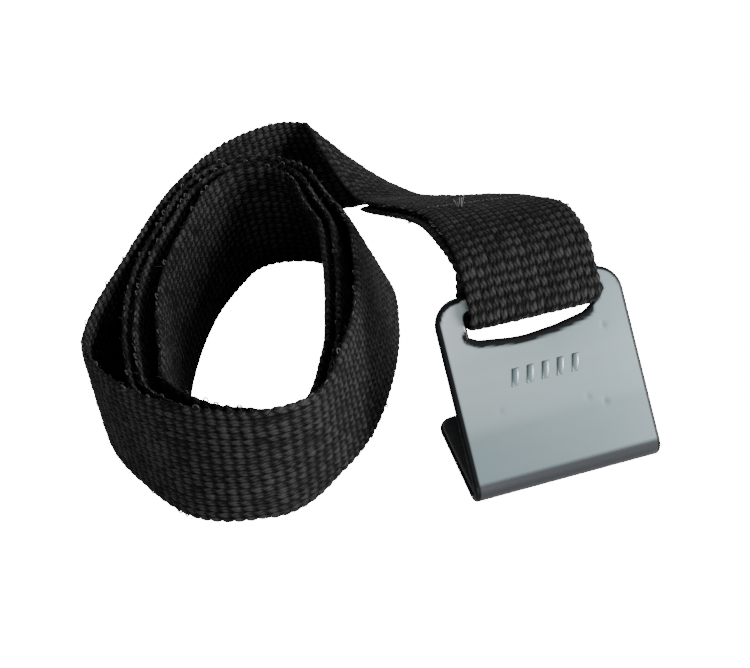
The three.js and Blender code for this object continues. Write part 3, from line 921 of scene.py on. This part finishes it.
def build_mark():
    """A plain stamped mark on the plate: a row of short slanted bars."""
    bars, pitch, width, height, slant = 5, 2.9, 1.3, 3.2, 0.8
    thickness, edge_round, sunk = 0.7, 0.3, 0.1
    low = 15.6
    for k in range(bars):
        left = 11.0 + k * pitch
        outline = [(left, low), (left + width, low), (left + width + slant, low + height),
                   (left + slant, low + height)]
        bm, mesh = flat_plate(f"stamped_bar_{k + 1}", [outline], thickness, edge_round)
        for v in bm.verts:
            across, up, out = v.co
            v.co = to_frame(on_plate(across, up, out - sunk + plate_wave(across, up)))
        for f in bm.faces:
            f.smooth = True
        bmesh.ops.recalc_face_normals(bm, faces=bm.faces)
        bm.to_mesh(mesh)
        bm.free()
        flat = np.array([v.co[:] for v in mesh.vertices])
        plain = np.ones(len(flat))
        # painted shade: the bars get a quarter of the fold's darker colour and none of the painted
        # highlight
        for name, value in (("rim", plain), ("fold", 0.25 * plain), ("painted_highlight_and_shade", 0 * plain)):
            mesh.attributes.new(name, "FLOAT", "POINT").data.foreach_set("value", value.astype(np.float32))
        mesh.materials.clear()
        mesh.materials.append(clip_steel)
        obj = bpy.data.objects.new(f"stamped_bar_{k + 1}", mesh)
        bpy.context.scene.collection.objects.link(obj)
        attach(obj, "clip")


# ---- studio -----------------------------------------------------------------------------------
CAMERA_YAW = math.radians(13.21)
CAMERA_RISE = math.radians(41.66)
CAMERA_ROLL = math.radians(-4.64)
CAMERA_DISTANCE = 233.8
CAMERA_LENS = 52.8


def turned(x, y, z):
    """A direction seen from the camera's side, turned into the frame's axes."""
    c, s = math.cos(CAMERA_YAW), math.sin(CAMERA_YAW)
    return Vector((x * c + y * s, -x * s + y * c, z))


def build_camera():
    right = turned(1, 0, 0)
    up = turned(0, math.sin(CAMERA_RISE), math.cos(CAMERA_RISE))
    back = turned(0, -math.cos(CAMERA_RISE), math.sin(CAMERA_RISE))
    c, s = math.cos(CAMERA_ROLL), math.sin(CAMERA_ROLL)
    image_right = right * c + up * s
    image_up = up * c - right * s
    data = bpy.data.cameras.new("camera")
    data.sensor_width = 36
    data.sensor_fit = "HORIZONTAL"
    data.lens = CAMERA_LENS
    data.clip_start = 0.01
    camera = bpy.data.objects.new("camera", data)
    bpy.context.scene.collection.objects.link(camera)
    basis = Matrix((image_right, image_up, back)).transposed().to_4x4()
    spot = Vector(to_frame((0, 0, 0))) + back * CAMERA_DISTANCE * MM
    camera.matrix_world = Matrix.Translation(spot) @ basis
    bpy.context.scene.camera = camera


def area_light(name, spot, size, power):
    """A square lamp that faces the frame's origin."""
    data = bpy.data.lights.new(name, "AREA")
    data.size = size
    data.energy = power
    light = bpy.data.objects.new(name, data)
    bpy.context.scene.collection.objects.link(light)
    light.location = spot
    direction = Vector((0, 0, 0)) - Vector(spot)
    light.rotation_euler = direction.to_track_quat("-Z", "Y").to_euler()


FLOOR_GLOW = 20.0  # floor and backdrop look white to the camera but don't light the object so
WORLD_LIGHT = 0.4


def build_studio():
    bpy.ops.mesh.primitive_plane_add(size=3)
    floor = bpy.context.object
    floor.name = "floor"
    material, nodes, links, surface = node_material("floor")
    surface.inputs["Base Color"].default_value = (0.55, 0.55, 0.55, 1)
    surface.inputs["Roughness"].default_value = 0.9
    surface.inputs["Specular IOR Level"].default_value = 0.1
    surface.inputs["Emission Color"].default_value = (1, 1, 1, 1)
    seen = nodes.new("ShaderNodeLightPath")
    glow = math_node(nodes, links, "MULTIPLY", seen.outputs["Is Camera Ray"], FLOOR_GLOW)
    links.new(glow, surface.inputs["Emission Strength"])
    floor.data.materials.append(material)
    world = bpy.data.worlds.new("studio")
    world.use_nodes = True
    nodes, links = world.node_tree.nodes, world.node_tree.links
    backdrop = nodes["Background"]
    backdrop.inputs["Color"].default_value = (1, 1, 1, 1)
    seen = nodes.new("ShaderNodeLightPath")
    glow = math_node(nodes, links, "MULTIPLY_ADD", seen.outputs["Is Camera Ray"], FLOOR_GLOW, WORLD_LIGHT)
    links.new(glow, backdrop.inputs["Strength"])
    bpy.context.scene.world = world
    # name, place, size and power
    for lamp in (("key", (0.62, -0.4, 0.26), 0.3, 16), ("front", (-0.12, -0.7, 0.14), 0.3, 4),
                 ("back", (0.1, 0.6, 0.6), 0.4, 5)):
        area_light(*lamp)


build_webbing()
build_bar_tack()
build_thread_tuft()
build_clip()
build_mark()
build_camera()
build_studio()
